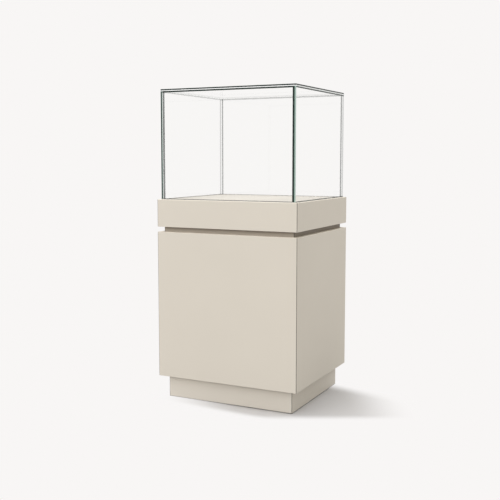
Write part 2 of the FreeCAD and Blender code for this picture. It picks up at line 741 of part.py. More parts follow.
def make_door():
    """Rear door let in between the carcass boards, hung on a pivot pin at top and bottom."""
    door = piece("door_panel", door_left, door_face, door_base)
    sketch = sketch_on(door, "Face", "XZ_Plane", "0")
    draw_outline(sketch, [("0", "0"), (door_width, "0"), (door_width, door_height), ("0", door_height)])
    pad(door, sketch, "door_board")
    ease_face(door, "Y", "0")
    barrel_bore = "barrel_diameter + 2*fit_clearance"
    bore(door, "XZ_Plane", "0", [(lock_edge, lock_height)], barrel_bore, "door_board", along_normal=True)
    spigot_bore = "knob_spigot + 2*fit_clearance"
    spigot_depth = "knob_spigot_length + end_clearance"
    bore(door, "XZ_Plane", "0", [(lock_edge, knob_height)], spigot_bore, spigot_depth, along_normal=True)
    pivot = [(f"{door_width} - pivot_edge", "-pivot_face")]
    pivot_bore = "pivot_diameter + 2*fit_clearance"
    bore(door, "XY_Plane", "0", pivot, pivot_bore, "pivot_seat", along_normal=True)
    bore(door, "XY_Plane", door_height, pivot, pivot_bore, "pivot_seat")

    at = (f"{hinge_x} - counter_width/2", f"{hinge_y} - counter_depth/2")
    pin_length = f"(pivot_seat + door_gap + {pivot_reach})"
    pin_profile = [
        ("0", "0"), ("pivot_diameter/2 - pivot_chamfer", "0"), ("pivot_diameter/2", "pivot_chamfer"),
        ("pivot_diameter/2", f"{pin_length} - pivot_chamfer"),
        ("pivot_diameter/2 - pivot_chamfer", pin_length), ("0", pin_length),
    ]
    turned(piece("pivot_pin_lower", *at, f"{door_base} - door_gap - {pivot_reach}"), pin_profile)
    turned(piece("pivot_pin_upper", *at, f"{door_base} + {door_height} - pivot_seat"), pin_profile)
    bush_bore = "(pivot_diameter/2 + running_clearance)"
    bush_radius = f"{bush_diameter}/2"
    flange_radius = f"{bush_radius} + bush_lip"
    flange_top = "door_gap - bush_gap"
    bush_profile = [
        (bush_bore, f"-{bush_length}"), (bush_radius, f"-{bush_length}"), (bush_radius, "0"),
        (flange_radius, "0"), (flange_radius, flange_top), (bush_bore, flange_top),
    ]
    turned(piece("pivot_bush_lower", *at, cabinet_floor), bush_profile)
    turned(piece("pivot_bush_upper", *at, cabinet_ceiling, rotation=upside_down), bush_profile)

    stop_back = "counter_depth - door_setback - door_board - stop_gap"
    x_range = ("panel_board", "panel_board + stop_width")
    y_range = (f"{stop_back} - stop_board", stop_back)
    flat_board("door_stop", x_range, y_range, cabinet_floor, "(cabinet_height - 2*panel_board)")


def make_knob():
    """Turned knob with a spigot glued into the door."""
    level = f"{door_base} + {knob_height}"
    knob = piece("door_knob", f"{door_left} + {lock_edge}", door_face, level, outward)
    neck_top = f"({knob_projection} - knob_head)"
    turned(knob, [
        ("0", "-knob_spigot_length"), ("knob_spigot/2", "-knob_spigot_length"), ("knob_spigot/2", "0"),
        ("knob_base/2", "0"), ("knob_neck/2", f"{neck_top}/2"), ("knob_neck/2", neck_top),
        ("knob_diameter/2", f"{neck_top} + knob_head/3"), ("knob_diameter/2", knob_projection),
        ("0", knob_projection),
    ])
    face_level = amount(knob_projection)

    def on_face(edge):
        return all(abs(corner.Z - face_level) < tolerance for corner in edge.Vertexes)

    dress_edges(knob, "PartDesign::Fillet", "Radius", "knob_round", on_face)


def make_lock():
    """Cam lock: housing and nut in the door, and a plug that turns the cam behind the stop."""
    at = (f"{door_left} + {lock_edge}", door_face, f"{door_base} + {lock_height}", outward)
    flange_radius = "(barrel_diameter/2 + lock_lip)"
    plug_bore = "(plug_diameter/2 + running_clearance)"
    turned(piece("lock_housing", *at), [
        (plug_bore, f"-{barrel_length}"), ("barrel_diameter/2", f"-{barrel_length}"),
        ("barrel_diameter/2", "0"), (flange_radius, "0"), (flange_radius, "lock_flange_thickness/2"),
        (f"{flange_radius} - arris", "lock_flange_thickness"), (plug_bore, "lock_flange_thickness"),
    ])

    nut = piece("lock_nut", *at)
    sketch = sketch_on(nut, "Flats", "XY_Plane", "-door_board")
    draw_outline(sketch, hexagon(nut_across))
    draw_circles(sketch, [("0", "0")], "barrel_diameter + 2*fit_clearance")
    pad(nut, sketch, "nut_thickness", reverse=True)

    plug = piece("lock_plug", *at)
    turned(plug, [
        ("0", f"-{barrel_length}"), ("plug_diameter/2", f"-{barrel_length}"),
        ("plug_diameter/2", "lock_flange_thickness"), ("0", "lock_flange_thickness"),
    ])
    keyway = sketch_on(plug, "Keyway", "XY_Plane", "lock_flange_thickness")
    draw_outline(keyway, rectangle("keyway_width", "keyway_height"))
    cut(plug, keyway, "keyway_depth")
    tail = sketch_on(plug, "Tail", "XY_Plane", f"-{barrel_length}")
    draw_outline(tail, rectangle("tail_square", "tail_square"))
    pad(plug, tail, "cam_thickness", reverse=True)
    screw_depth = "cam_thickness + cam_screw_length + end_clearance"
    bore(plug, "XY_Plane", f"-{barrel_length} - cam_thickness", [("0", "0")],
         "cam_screw_diameter + 2*fit_clearance", screw_depth, along_normal=True)

    cam = piece("lock_cam", *at)
    half = "cam_width/2"
    sketch = sketch_on(cam, "Plate", "XY_Plane", f"-{barrel_length}")
    corners_near = [(f"-{half}", f"-{half}"), (half, f"-{half}")]
    corners_far = [(half, cam_reach), (f"-{half}", cam_reach)]
    draw_outline(sketch, corners_near + corners_far)
    pad(cam, sketch, "cam_thickness", reverse=True)

    def is_corner(edge):
        return abs(edge.tangentAt(edge.FirstParameter).z) > 0.99

    dress_edges(cam, "PartDesign::Fillet", "Radius", f"{half} - cam_end_flat", is_corner)
    square = sketch_on(cam, "Square", "XY_Plane", f"-{barrel_length}")
    draw_outline(square, rectangle("tail_square + 2*fit_clearance", "tail_square + 2*fit_clearance"))
    cut(cam, square, "cam_thickness")

    under_head = f"(-{barrel_length} - cam_thickness)"
    head_end = f"{under_head} - cam_screw_head_height"
    tip = f"{under_head} + cam_thickness + cam_screw_length"
    turned(piece("lock_cam_screw", *at), [
        ("0", head_end), ("cam_screw_head/2", head_end), ("cam_screw_head/2", under_head),
        ("cam_screw_diameter/2", under_head), ("cam_screw_diameter/2", tip), ("0", tip),
    ])


make_plinth()
make_feet()
make_cabinet()
make_shelf()
make_shadow_gap()
make_deck()
make_gasket()
make_hood()
make_door()
make_knob()
make_lock()

doc.recompute()
faulty = [item.Label for item in doc.Objects if {"Invalid", "Error"} & set(item.State)]
faulty += [part.Label for part in sub_parts if part.Shape.isNull() or not part.Shape.isValid()]
if faulty:
    raise RuntimeError("these did not build: " + ", ".join(faulty))
os.makedirs("parts", exist_ok=True)
for part in sub_parts:
    part.Shape.exportStep(f"parts/{part.Label}.step")
print(f"{len(sub_parts)} sub-parts written")
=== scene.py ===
import json
import math

import bmesh
import bpy
from mathutils import Matrix, Vector


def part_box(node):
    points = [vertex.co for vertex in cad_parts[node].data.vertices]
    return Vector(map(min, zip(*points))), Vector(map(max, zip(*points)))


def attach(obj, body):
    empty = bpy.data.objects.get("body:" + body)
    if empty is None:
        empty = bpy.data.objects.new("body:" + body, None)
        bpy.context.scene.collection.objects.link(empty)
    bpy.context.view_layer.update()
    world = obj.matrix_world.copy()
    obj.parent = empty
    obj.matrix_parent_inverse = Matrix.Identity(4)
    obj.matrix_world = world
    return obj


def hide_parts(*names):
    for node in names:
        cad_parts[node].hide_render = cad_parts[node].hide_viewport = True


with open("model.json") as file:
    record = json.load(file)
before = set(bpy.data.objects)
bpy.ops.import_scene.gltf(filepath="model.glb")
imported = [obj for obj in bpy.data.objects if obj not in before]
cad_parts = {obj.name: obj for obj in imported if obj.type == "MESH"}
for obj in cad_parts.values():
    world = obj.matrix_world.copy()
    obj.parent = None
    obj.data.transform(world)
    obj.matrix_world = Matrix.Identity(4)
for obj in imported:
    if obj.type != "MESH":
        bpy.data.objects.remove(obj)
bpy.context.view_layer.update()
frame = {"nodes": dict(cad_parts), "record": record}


# a socket that can be used in plain sums
class Wire:
    def __init__(self, tree, socket=None):
        self.tree = tree
        self.socket = socket

    def node(self, kind, settings=None, inputs=None, output=0):
        step = self.tree.nodes.new(kind)
        for name, value in (settings or {}).items():
            if name == "stops":
                ramp = step.color_ramp
                while len(ramp.elements) < len(value):
                    ramp.elements.new(0.5)
                for element, (place, colour) in zip(ramp.elements, value):
                    element.position = place
                    element.color = colour
            else:
                setattr(step, name, value)
        for name, value in (inputs or {}).items():
            if isinstance(value, Wire):
                self.tree.links.new(value.socket, step.inputs[name])
            else:
                step.inputs[name].default_value = value
        return Wire(self.tree, step.outputs[output]) if len(step.outputs) else None

    def other(self, output):
        return Wire(self.tree, self.socket.node.outputs[output])

    def sum(self, operation, first, second=0.0):
        return self.node("ShaderNodeMath", {"operation": operation}, {0: first, 1: second})

    def __add__(self, other):
        return self.sum("ADD", self, other)

    def __radd__(self, other):
        return self.sum("ADD", other, self)

    def __sub__(self, other):
        return self.sum("SUBTRACT", self, other)

    def __rsub__(self, other):
        return self.sum("SUBTRACT", other, self)

    def __mul__(self, other):
        return self.sum("MULTIPLY", self, other)

    def __rmul__(self, other):
        return self.sum("MULTIPLY", other, self)

    def __pow__(self, other):
        return self.sum("POWER", self, other)

    def __abs__(self):
        return self.sum("ABSOLUTE", self)


def newFinish(name):
    finish = bpy.data.materials.new(name)
    finish.use_nodes = True
    finish.node_tree.nodes.clear()
    return finish, Wire(finish.node_tree)


def opaque(colour):
    return (*colour, 1.0)


# inputs 6 and 7 and output 2 are the node's colour sockets
def mixColour(wire, share, first, second):
    return wire.node("ShaderNodeMix", {"data_type": "RGBA"}, {0: share, 6: first, 7: second}, 2)


def between(wire, value, low, high, start=0.0, end=1.0):
    return wire.node("ShaderNodeMapRange", {"interpolation_type": "SMOOTHSTEP"},
                     {"Value": value, "From Min": low, "From Max": high, "To Min": start, "To Max": end})


def fading(wire, value, full, gone, share=1.0):
    return between(wire, value, full, gone, share, 0.0)


noiseMiddle = 0.5


def noise(wire, place, scale, detail=2.0, roughness=0.5, stretch=None):
    if stretch:
        place = wire.node("ShaderNodeMapping", None, {"Vector": place, "Scale": stretch})
    return wire.node("ShaderNodeTexNoise", None,
                     {"Vector": place, "Scale": scale, "Detail": detail, "Roughness": roughness})


def bump(wire, height, strength, distance):
    return wire.node("ShaderNodeBump", None, {"Height": height, "Strength": strength, "Distance": distance})


def surface(wire, shader):
    wire.node("ShaderNodeOutputMaterial", None, {"Surface": shader})


# boards: sprayed satin lacquer, a little uneven in tone, with fine orange peel and a joint line at each mitre
lacquer = {
    "colour": (0.700, 0.645, 0.558),
    # plinth: the same lacquer painted a little paler, painted light
    "plinthLitColour": (0.730, 0.674, 0.588),
    # gap boards: the same lacquer painted much darker, painted shade of the recess under the deck, darker still on the
    # side boards
    "gapShadedColour": (0.250, 0.216, 0.176),
    "gapSideShadedColour": (0.246, 0.212, 0.170),
    "gapShadeFadeColour": (0.450, 0.398, 0.335),   # painted shade: paler towards the ledge, darker under the deck
    "shadeFadeStart": 0.002,
    "shadeFadeWander": 0.003,
    "jointColour": (0.060, 0.052, 0.043),
    "jointWidth": 0.0015,
    "jointFull": 0.7,           # part of a width or height that has the whole share, here and below
    "jointShare": 0.9,
    "toneSwing": 0.05,          # how far the tone drifts over a board
    "toneScale": 2.2,
    "speckScale": 1500.0,
    "speckShare": 0.15,
    "roughness": 0.5,
    "roughSwing": 0.12,
    "roughScale": 14.0,
    "gloss": 0.2,
    "peelScale": 420.0,
    "peelStrength": 0.35,
    "peelHeight": 0.00012,
    "arrisHighlightWidth": 0.0022,         # painted highlight: a paler line along the level arrises
    "arrisHighlightFull": 0.4,
    "arrisHighlightShare": 0.55,
    "arrisHighlightPaler": 1.22,
    "arrisHighlightUneven": (0.6, 0.8),    # least highlight, and how much the drift adds
    "footShadeHeight": 0.0021,      # painted shade: a dark line at the foot of the plinth
    "footShadeFull": 0.35,
    "footShadeShare": 0.8,
    "footShadeWander": 0.0012,
    "overhangShadeHeight": 0.016,       # and painted shade up under the overhang
    "overhangShadeFull": 0.2,
    "overhangShadeShare": 0.42,
    "plinthShadeColour": (0.105, 0.095, 0.083),
}


def makeLacquer(name, look, colour, roughness, mitreNode=None, arrises=(), footShadeFrom=None, shadeFade=None, backMitre=True,
                lightPool=None):
    finish, wire = newFinish(name)
    place = wire.node("ShaderNodeTexCoord", output="Object")
    drift = noise(wire, place, look["toneScale"], detail=3.0)
    speck = noise(wire, place, look["speckScale"], detail=1.0)
    peel = noise(wire, place, look["peelScale"], detail=1.5)
    shade = tuple(c * (1 - look["toneSwing"]) for c in colour)
    light = tuple(c * (1 + look["toneSwing"]) for c in colour)
    share = (1 - look["speckShare"]) * drift + look["speckShare"] * speck
    tone = mixColour(wire, share, opaque(shade), opaque(light))
    spot = wire.node("ShaderNodeSeparateXYZ", None, {0: place}, "X")
    height = spot.other("Z")
    # painted shade in the gap: darker up under the deck, paler towards the ledge below
    if shadeFade:
        low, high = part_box(mitreNode)
        lessShaded = fading(wire, height + look["shadeFadeWander"] * (drift - noiseMiddle), low.z + look["shadeFadeStart"], high.z)
        tone = mixColour(wire, lessShaded, tone, opaque(shadeFade))
    # painted light and shade: the display board lighter in the middle, darker towards its rim
    if lightPool:
        across, along = (axis - middle for axis, middle in zip((spot, spot.other("Y")), lightPool["middle"]))
        outward = (across * across + along * along) ** 0.5
        tone = mixColour(wire, between(wire, outward, *lightPool["fade"]), tone, opaque(lightPool["darker"]))
    # painted highlight along each level arris, uneven with the tone's drift
    highlightTone = tuple(min(1.0, c * look["arrisHighlightPaler"]) for c in colour)
    least, more = look["arrisHighlightUneven"]
    for level in arrises:
        highlight = fading(wire, abs(height - level), look["arrisHighlightFull"] * look["arrisHighlightWidth"], look["arrisHighlightWidth"], look["arrisHighlightShare"])
        tone = mixColour(wire, highlight * (least + more * drift), tone, opaque(highlightTone))
    # painted shade on the plinth: a dark line at its foot and a darker band up under the overhang
    if footShadeFrom is not None:
        footShade = fading(wire, height - footShadeFrom + look["footShadeWander"] * (speck - noiseMiddle),
                         look["footShadeFull"] * look["footShadeHeight"], look["footShadeHeight"], look["footShadeShare"])
        overhangShade = fading(wire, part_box(mitreNode)[1].z - height,
                        look["overhangShadeFull"] * look["overhangShadeHeight"], look["overhangShadeHeight"], look["overhangShadeShare"])
        tone = mixColour(wire, wire.sum("MAXIMUM", footShade, overhangShade), tone, opaque(look["plinthShadeColour"]))
    if mitreNode:
        low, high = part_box(mitreNode)
        fromEnd = high.x - abs(spot)
        fromFace = -low.y - abs(spot.other("Y")) if backMitre else spot.other("Y") - low.y
        inFrom = wire.sum("MAXIMUM", fromEnd, fromFace)
        joint = fading(wire, inFrom, look["jointFull"] * look["jointWidth"], look["jointWidth"], look["jointShare"])
        tone = mixColour(wire, joint, tone, opaque(look["jointColour"]))
    swing = look["roughSwing"]
    shader = wire.node("ShaderNodeBsdfPrincipled", None, {
        "Base Color": tone,
        "Roughness": roughness - swing / 2 + swing * noise(wire, place, look["roughScale"]),
        "Specular IOR Level": look["gloss"],
        "Normal": bump(wire, peel, look["peelStrength"], look["peelHeight"]),
    })
    surface(wire, shader)
    return finish


# display board: same spray, matt, painted lighter in the middle and darker towards its rim, painted light and shade
displayLacquer = {
    "colour": (0.626, 0.586, 0.525),
    "darker": (0.556, 0.520, 0.466),
    "roughness": 0.6,
    "middle": (-0.02, 0.0),
    "fade": (0.05, 0.32),       # distance from the middle
}

# bare timber: long grain, rings and pores
timber = {
    "early": (0.60, 0.43, 0.25),
    "late": (0.43, 0.27, 0.135),
    "stretch": (1.0, 1.0, 0.12),
    "ringScale": 26.0,
    "ringBend": 5.0,
    "ringDetail": 3.0,
    "ringDetailScale": 1.6,
    "ringShare": 0.55,
    "wanderScale": 6.0,
    "wanderShare": 0.25,
    "poreScale": 300.0,
    "poreStretch": (1.0, 1.0, 0.05),
    "poreShare": 0.2,
    "poreDull": 0.12,
    "poreStrength": 0.5,
    "poreDepth": 0.0003,
    "roughness": 0.68,
}


def makeTimber(name, look):
    finish, wire = newFinish(name)
    place = wire.node("ShaderNodeTexCoord", output="Object")
    along = wire.node("ShaderNodeMapping", None, {"Vector": place, "Scale": look["stretch"]})
    wander = noise(wire, along, look["wanderScale"], detail=3.0)
    rings = wire.node("ShaderNodeTexWave", {"bands_direction": "DIAGONAL", "wave_profile": "SAW"}, {
        "Vector": along, "Scale": look["ringScale"], "Distortion": look["ringBend"], "Detail": look["ringDetail"],
        "Detail Scale": look["ringDetailScale"]})
    grey = wire.node("ShaderNodeRGBToBW", None, {0: rings})
    pores = noise(wire, place, look["poreScale"], roughness=0.6, stretch=look["poreStretch"])
    share = look["ringShare"] * grey + look["wanderShare"] * wander + look["poreShare"] * pores
    tone = mixColour(wire, share, opaque(look["early"]), opaque(look["late"]))
    shader = wire.node("ShaderNodeBsdfPrincipled", None, {
        "Base Color": tone,
        "Roughness": look["roughness"] + look["poreDull"] * pores,
        "Normal": bump(wire, pores, look["poreStrength"], look["poreDepth"]),
    })
    surface(wire, shader)
    return finish


# plated and brushed metal
metals = {
    "zincSteel": {"colour": (0.56, 0.57, 0.59), "roughness": 0.34, "scratch": (1.0, 1.0, 0.15), "scale": 700.0},
    "lockChrome": {"colour": (0.72, 0.72, 0.73), "roughness": 0.14, "scratch": (1.0, 1.0, 1.0), "scale": 260.0},
    "knobSteel": {"colour": (0.60, 0.59, 0.575), "roughness": 0.30, "scratch": (1.0, 0.06, 1.0), "scale": 1500.0},
}
metalWear = {
    "cloudScale": 60.0,
    "scratchShare": 0.4,
    "darker": 0.84,
    "polished": 0.05,           # smoother between the scratches, rougher in them
    "scratched": 0.12,
    "strength": 0.12,
    "depth": 0.0001,
}


def makeMetal(name, look, wear):
    finish, wire = newFinish(name)
    place = wire.node("ShaderNodeTexCoord", output="Object")
    scratch = noise(wire, place, look["scale"], roughness=0.6, stretch=look["scratch"])
    cloud = noise(wire, place, wear["cloudScale"], detail=3.0)
    dull = tuple(c * wear["darker"] for c in look["colour"])
    share = (1 - wear["scratchShare"]) * cloud + wear["scratchShare"] * scratch
    tone = mixColour(wire, share, opaque(dull), opaque(look["colour"]))
    shader = wire.node("ShaderNodeBsdfPrincipled", None, {
        "Base Color": tone,
        "Metallic": 1.0,
        "Roughness": look["roughness"] - wear["polished"] + wear["scratched"] * scratch,
        "Normal": bump(wire, scratch, wear["strength"], wear["depth"]),
    })
    surface(wire, shader)
    return finish


# moulded nylon and the soft strip under the glass
mouldings = {
    "blackNylon": {"colour": (0.022, 0.022, 0.023), "paler": (0.040, 0.040, 0.041), "roughness": 0.48, "scale": 900.0},
    "softGasket": {"colour": (0.540, 0.515, 0.478), "paler": (0.610, 0.584, 0.546), "roughness": 0.75, "scale": 1400.0},
}
mouldedSkin = {
    "cloudScale": 40.0,
    "grainShare": 0.3,
    "roughSwing": 0.1,
    "strength": 0.3,
    "depth": 0.0001,
}


def makeMoulding(name, look, skin):
    finish, wire = newFinish(name)
    place = wire.node("ShaderNodeTexCoord", output="Object")
    grain = noise(wire, place, look["scale"])
    cloud = noise(wire, place, skin["cloudScale"], detail=3.0)
    share = (1 - skin["grainShare"]) * cloud + skin["grainShare"] * grain
    tone = mixColour(wire, share, opaque(look["colour"]), opaque(look["paler"]))
    shader = wire.node("ShaderNodeBsdfPrincipled", None, {
        "Base Color": tone,
        "Roughness": look["roughness"] - skin["roughSwing"] / 2 + skin["roughSwing"] * grain,
        "Normal": bump(wire, grain, skin["strength"], skin["depth"]),
    })
    surface(wire, shader)
    return finish


# glass hood: clear faces, polished green edges, bonded without a frame
hood = {
    "panes": ("front", "back", "left", "right", "top"),
    "arris": 0.0004,
    "bond": 0.0001,             # glue line where two panes meet
    "tint": (0.9985, 1.0, 0.999),
    "index": 1.52,
    "facing": 0.022,            # reflection seen straight on
    "grazing": 0.10,
    "grazingPower": 5.0,
    "filmScale": 5.0,           # faint smears
    "polish": 0.01,
    "filmDull": 0.02,
    "seamDull": 0.1,
    # edge tones: the glass's own green, with dark and pale tones of painted refraction and reflection
    "dark": (0.007, 0.020, 0.014),
    "green": (0.180, 0.265, 0.225),
    "mint": (0.415, 0.520, 0.470),
    "pale": (0.960, 0.965, 0.962),
    "edgeGloss": 0.2,
    "edgeRoughness": 0.12,
    "rippleScale": 30.0,
    "rippleSwing": 0.06,
    "rippleDull": 0.08,
    "insideShare": 0.12,        # how much of an edge still shows through the glass
    "seamArris": (0.06, 0.12),  # painted dark parts of a bonded end, refraction seen through the pane, across the pane's thickness
    "seamInner": (0.25, 0.6),
    "flat": 0.99,               # least part of a normal across the pane that makes a face one of its two sides
    "topBand": (0.0008, 0.0013, 0.0053, 0.0060),    # painted refraction, a dark line under the top's bond: begins, full, fades, ends
    "backBand": 0.022,
    "backFull": 0.5,
    "backLine": (0.0040, 0.0050, 0.0130, 0.0140),   # painted refraction of the bond at the back, seen through a side pane from inside
    "backLineShare": 0.38,
    "footBand": 0.0042,         # and painted reflection and shade where the glass enters the deck
    "footFull": 0.6,
    "sideFoot": 1.3,
    "lipBlur": 0.0002,
    "reachFull": 0.75,
    "stepShares": (0.06, 0.85),
    # shares of the painted dark, and how far the bonds at a pane's ends reach: the left one past a paler strip, outside
    "outer": {"top": 1.0, "end": 1.0, "back": 0.3, "foot": 0.9, "reach": 0.0066,
              "step": (0.0060, 0.0068, 0.0094, 0.0102)},
    "inner": {"top": 0.36, "end": 0.26, "back": 0.0, "foot": 0.03, "reach": 0.0034,
              "step": (-0.0002, -0.0001, 0.0024, 0.0034)},
}
wallLow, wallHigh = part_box("glass_front")
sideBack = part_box("glass_right")[1].y
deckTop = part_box("deck_apron_front")[1].z
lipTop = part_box("hood_gasket")[1].z


# clear from straight on, with dark bands of painted refraction at the bonds and of painted reflection and shade along
# the foot, that fade when seen from inside the glass
def makeGlassFace(name, look, shares=None, bonded=False):
    finish, wire = newFinish(name)
    facing = wire.node("ShaderNodeLayerWeight", None, {"Blend": 0.5}, "Facing")
    place = wire.node("ShaderNodeTexCoord", output="Object")
    film = noise(wire, place, look["filmScale"], detail=3.0)
    clear = wire.node("ShaderNodeBsdfTransparent", None, {"Color": opaque(look["tint"])})
    gloss = wire.node("ShaderNodeBsdfGlossy", None, {
        "Color": (1, 1, 1, 1), "Roughness": look["polish"] + look["filmDull"] * film})
    share = look["facing"] + (look["grazing"] - look["facing"]) * facing ** look["grazingPower"]
    glass = wire.node("ShaderNodeMixShader", None, {0: share, 1: clear, 2: gloss})
    if not shares:
        surface(wire, glass)
        return finish
    spot = wire.node("ShaderNodeSeparateXYZ", None, {0: place}, "X")
    height = spot.other("Z")
    rise, full, fall, none = look["topBand"]
    fromTop = wallHigh.z - height
    band = between(wire, fromTop, rise, full) * fading(wire, fromTop, fall, none, shares["top"])
    footBand = look["footBand"] * (1.0 if bonded else look["sideFoot"])
    overLip = between(wire, height - lipTop, -look["lipBlur"], 0.0)
    foot = overLip * fading(wire, height - deckTop, look["footFull"] * footBand, footBand, shares["foot"])
    band = wire.sum("MAXIMUM", band, foot)
    if bonded:
        near = fading(wire, wallHigh.x - spot, look["reachFull"] * shares["reach"], shares["reach"], shares["end"])
        fromFar = spot - wallLow.x
        rise, full, fall, none = shares["step"]
        far = (between(wire, fromFar, rise, full, *look["stepShares"])
               * fading(wire, fromFar, fall, none, shares["end"]))
        ends = wire.sum("MAXIMUM", near, far)
        through = 0.0
    else:
        fromBack = sideBack - spot.other("Y")
        ends = fading(wire, fromBack, look["backFull"] * look["backBand"], look["backBand"], shares["back"])
        rise, full, fall, none = look["backLine"]
        through = between(wire, fromBack, rise, full) * fading(wire, fromBack, fall, none, look["backLineShare"])
    inside = wire.node("ShaderNodeNewGeometry", output="Backfacing")
    paintedDark = wire.node("ShaderNodeBsdfPrincipled", None, {
        "Base Color": opaque(look["dark"]), "Roughness": look["edgeRoughness"] + look["seamDull"] * film,
        "IOR": look["index"], "Specular IOR Level": look["edgeGloss"]})
    surface(wire, wire.node("ShaderNodeMixShader", None, {
        0: wire.sum("MAXIMUM", band, ends) * (1.0 - inside) + through * inside, 1: glass, 2: paintedDark}))
    return finish


# stops run across the pane's thickness: the glass's own green, with dark and pale bands of painted refraction and
# reflection; from inside the glass an edge is nearly clear
def makeGlassEdge(name, look, stops):
    finish, wire = newFinish(name)
    across = wire.node("ShaderNodeUVMap", {"uv_map": "edge"})
    depth = wire.node("ShaderNodeSeparateXYZ", None, {0: across}, "X")
    place = wire.node("ShaderNodeTexCoord", output="Object")
    ripple = noise(wire, place, look["rippleScale"])
    tone = wire.node("ShaderNodeValToRGB", {"stops": [(spot, opaque(look[colour])) for spot, colour in stops]},
                     {0: depth + look["rippleSwing"] * (ripple - noiseMiddle)})
    polished = wire.node("ShaderNodeBsdfPrincipled", None, {
        "Base Color": tone, "Roughness": look["edgeRoughness"] + look["rippleDull"] * ripple, "IOR": look["index"],
        "Specular IOR Level": look["edgeGloss"]})
    clear = wire.node("ShaderNodeBsdfTransparent", None, {"Color": (1, 1, 1, 1)})
    inside = wire.node("ShaderNodeNewGeometry", output="Backfacing")
    share = 1.0 - (1.0 - look["insideShare"]) * inside
    surface(wire, wire.node("ShaderNodeMixShader", None, {0: share, 1: clear, 2: polished}))
    return finish


# a bonded end is seen through the pane: painted dark along its arris and towards its inner corner, painted refraction
def makeGlassSeam(look):
    finish, wire = newFinish("bondedGlassSeam")
    across = wire.node("ShaderNodeUVMap", {"uv_map": "edge"})
    depth = wire.node("ShaderNodeSeparateXYZ", None, {0: across}, "X")
    dark = wire.node("ShaderNodeBsdfPrincipled", None, {
        "Base Color": opaque(look["dark"]), "Roughness": look["edgeRoughness"], "IOR": look["index"],
        "Specular IOR Level": look["edgeGloss"]})
    clear = wire.node("ShaderNodeBsdfTransparent", None, {"Color": (1, 1, 1, 1)})
    share = wire.sum("MAXIMUM", between(wire, depth, *look["seamInner"]), fading(wire, depth, *look["seamArris"]))
    surface(wire, wire.node("ShaderNodeMixShader", None, {0: share, 1: clear, 2: dark}))
    return finish


glassFaces = {
    "outerWall": makeGlassFace("clearGlass", hood, hood["outer"]),
    "innerWall": makeGlassFace("clearGlassInside", hood, hood["inner"]),
    "outerBonded": makeGlassFace("clearGlassBonded", hood, hood["outer"], True),
    "innerBonded": makeGlassFace("clearGlassBondedInside", hood, hood["inner"], True),
    "roof": makeGlassFace("clearGlassRoof", hood),
}
glassEdges = {
    "left": makeGlassEdge("leftGlassEdge", hood, (
        (0.0, "mint"), (0.08, "mint"), (0.12, "dark"), (0.68, "dark"), (0.76, "mint"), (1.0, "mint"))),
    "right": makeGlassEdge("rightGlassEdge", hood, (
        (0.0, "dark"), (0.10, "dark"), (0.26, "green"), (0.70, "mint"), (1.0, "mint"))),
    "top": makeGlassEdge("topGlassEdge", hood, (
        (0.0, "dark"), (0.61, "dark"), (0.63, "pale"), (1.0, "pale"))),
}
glassSeam = makeGlassSeam(hood)


def makePane(side, look):
    low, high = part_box("glass_" + side)
    low, high = Vector(low), Vector(high)
    if side != "top":
        high.z -= look["bond"]
    if side in ("front", "back"):
        low.x += look["bond"]
        high.x -= look["bond"]
    pane = bmesh.new()
    bmesh.ops.create_cube(pane, size=1.0)
    bmesh.ops.scale(pane, vec=high - low, verts=pane.verts)
    bmesh.ops.translate(pane, vec=(low + high) / 2, verts=pane.verts)
    bmesh.ops.bevel(pane, geom=pane.edges[:], offset=look["arris"], offset_type="OFFSET", affect="EDGES",
                    segments=1, profile=0.5, material=-1)
    bmesh.ops.recalc_face_normals(pane, faces=pane.faces)
    size = high - low
    thin = min(range(3), key=lambda axis: size[axis])
    outward = -1 if side in ("front", "left") else 1
    bonded = side in ("front", "back")
    edgeMap = pane.loops.layers.uv.new("edge")
    for face in pane.faces:
        if abs(face.normal[thin]) > look["flat"]:
            face.material_index = 0 if face.normal[thin] * outward > 0 else 1
        else:
            face.material_index = 2
        for loop in face.loops:
            across = (loop.vert.co[thin] - low[thin]) / size[thin]
            if side in ("top", "back"):
                across = 1 - across     # from the top down, and from the outside in
            loop[edgeMap].uv = (across, 0.5)
    mesh = bpy.data.meshes.new("pane_" + side)
    pane.to_mesh(mesh)
    pane.free()
    for reach in ("outer", "inner"):
        mesh.materials.append(glassFaces["roof" if side == "top" else reach + ("Bonded" if bonded else "Wall")])
    mesh.materials.append(glassSeam if bonded else glassEdges[side])
    piece = bpy.data.objects.new("pane_" + side, mesh)
    bpy.context.scene.collection.objects.link(piece)
    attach(piece, "hood")
    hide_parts("glass_" + side)


for side in hood["panes"]:
    makePane(side, hood)
print("glass hood made:", len(hood["panes"]), "panes")

# finishes of the pieces that keep their CAD shape
boardArrises = [corner.z for node in ("front_panel", "deck_apron_front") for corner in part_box(node)]
finishes = {
    "lacquer": makeLacquer("satinLacquer", lacquer, lacquer["colour"], lacquer["roughness"], "deck_apron_front",
                           boardArrises),
    "display_lacquer": makeLacquer("paleMattLacquer", lacquer, displayLacquer["colour"], displayLacquer["roughness"],
                                   lightPool=displayLacquer),
    "raw_wood": makeTimber("bareTimber", timber),
    "zinc_steel": makeMetal("zincSteel", metals["zincSteel"], metalWear),
    "lock_chrome": makeMetal("lockChrome", metals["lockChrome"], metalWear),
    "knob_steel": makeMetal("knobSteel", metals["knobSteel"], metalWear),
    "nylon": makeMoulding("blackNylon", mouldings["blackNylon"], mouldedSkin),
    "gasket": makeMoulding("softGasket", mouldings["softGasket"], mouldedSkin),
    "glass": glassFaces["outerWall"],
}
for part in frame["record"]["subparts"]:
    for place in frame["nodes"][part["node"]].material_slots:
        place.material = finishes[part["material_slot"]]
